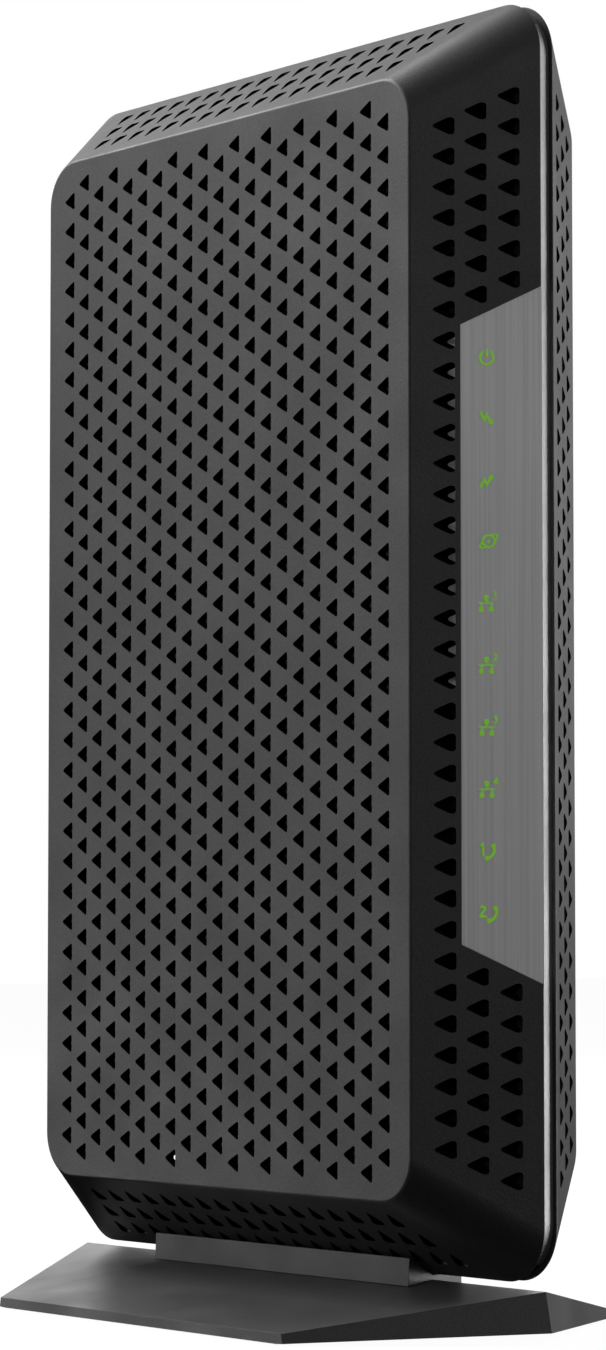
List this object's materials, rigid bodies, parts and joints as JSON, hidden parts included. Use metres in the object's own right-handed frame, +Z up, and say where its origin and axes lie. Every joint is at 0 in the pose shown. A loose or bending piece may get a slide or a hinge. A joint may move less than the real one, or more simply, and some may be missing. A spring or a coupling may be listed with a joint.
{
  "type": "cable modem",
  "caption": "Slim upright cable modem with perforated shells, a slanted light panel and rear network, phone, coaxial and power ports, on a roof-shaped stand.",
  "frame": {"origin": "on the table under the middle of the stand", "axes": "+Z up; the trim strip and light panel face -Y, the ports face +Y; +X to the right seen from the front"},
  "size_m": [0.0786, 0.1472, 0.245],
  "materials": {
    "shell_plastic": "fine matt texture",
    "trim_silver": "satin",
    "groove_black": "gloss",
    "panel_brushed": "brushed",
    "icon_green": "printed",
    "clear_plastic": "clear",
    "board_green": "solder resist",
    "component_black": "matt",
    "led_white": "moulded",
    "heat_sink_alloy": "anodised",
    "shield_steel": "tinned",
    "pad_grey": "soft",
    "capacitor_sleeve": "sleeve",
    "rear_plastic": "fine matt texture",
    "jack_plastic": "moulded",
    "phone_jack_plastic": "moulded",
    "gold_contact": "plated",
    "coax_nickel": "nickel plated",
    "insulator_white": "moulded",
    "button_plastic": "moulded",
    "reset_red": "moulded",
    "screw_steel": "zinc plated",
    "stand_plastic": "fine matt texture",
    "foot_rubber": "matt"
  },
  "bodies": {
    "modem": {"left_shell": "shell_plastic", "right_shell": "shell_plastic", "front_trim": "trim_silver", "groove_seal": "groove_black", "light_panel": "panel_brushed", "icon_inlays": "icon_green", "light_guide": "clear_plastic", "led_board": "board_green", "indicator_leds": "led_white", "rear_panel": "rear_plastic", "main_board": "board_green", "tuner_shield": "shield_steel", "main_processor": "component_black", "thermal_pad": "pad_grey", "heat_sink": "heat_sink_alloy", "memory_chips": "component_black", "line_transformers": "component_black", "capacitors": "capacitor_sleeve", "ethernet_jacks": "jack_plastic", "ethernet_contacts": "gold_contact", "phone_jacks": "phone_jack_plastic", "phone_contacts": "gold_contact", "coax_connector": "coax_nickel", "coax_nut": "coax_nickel", "coax_insulator": "insulator_white", "power_jack": "component_black", "power_jack_pin": "coax_nickel", "power_switch": "component_black", "reset_switch": "shield_steel", "board_screws": "screw_steel", "case_screws": "screw_steel", "stand_base": "stand_plastic", "stand_cradle": "stand_plastic", "stand_screws": "screw_steel", "rubber_feet": "foot_rubber"},
    "power_button": {"power_button": "button_plastic"},
    "reset_button": {"reset_button": "reset_red"}
  },
  "joints": [
    {"name": "power_press", "type": "slide", "parent": "modem", "child": "power_button", "axis": [0, -1, 0], "range_m": [0, 0.0018], "stiffness_N_per_m": 400},
    {"name": "reset_press", "type": "slide", "parent": "modem", "child": "reset_button", "axis": [0, -1, 0], "range_m": [0, 0.0005], "stiffness_N_per_m": 600}
  ]
}
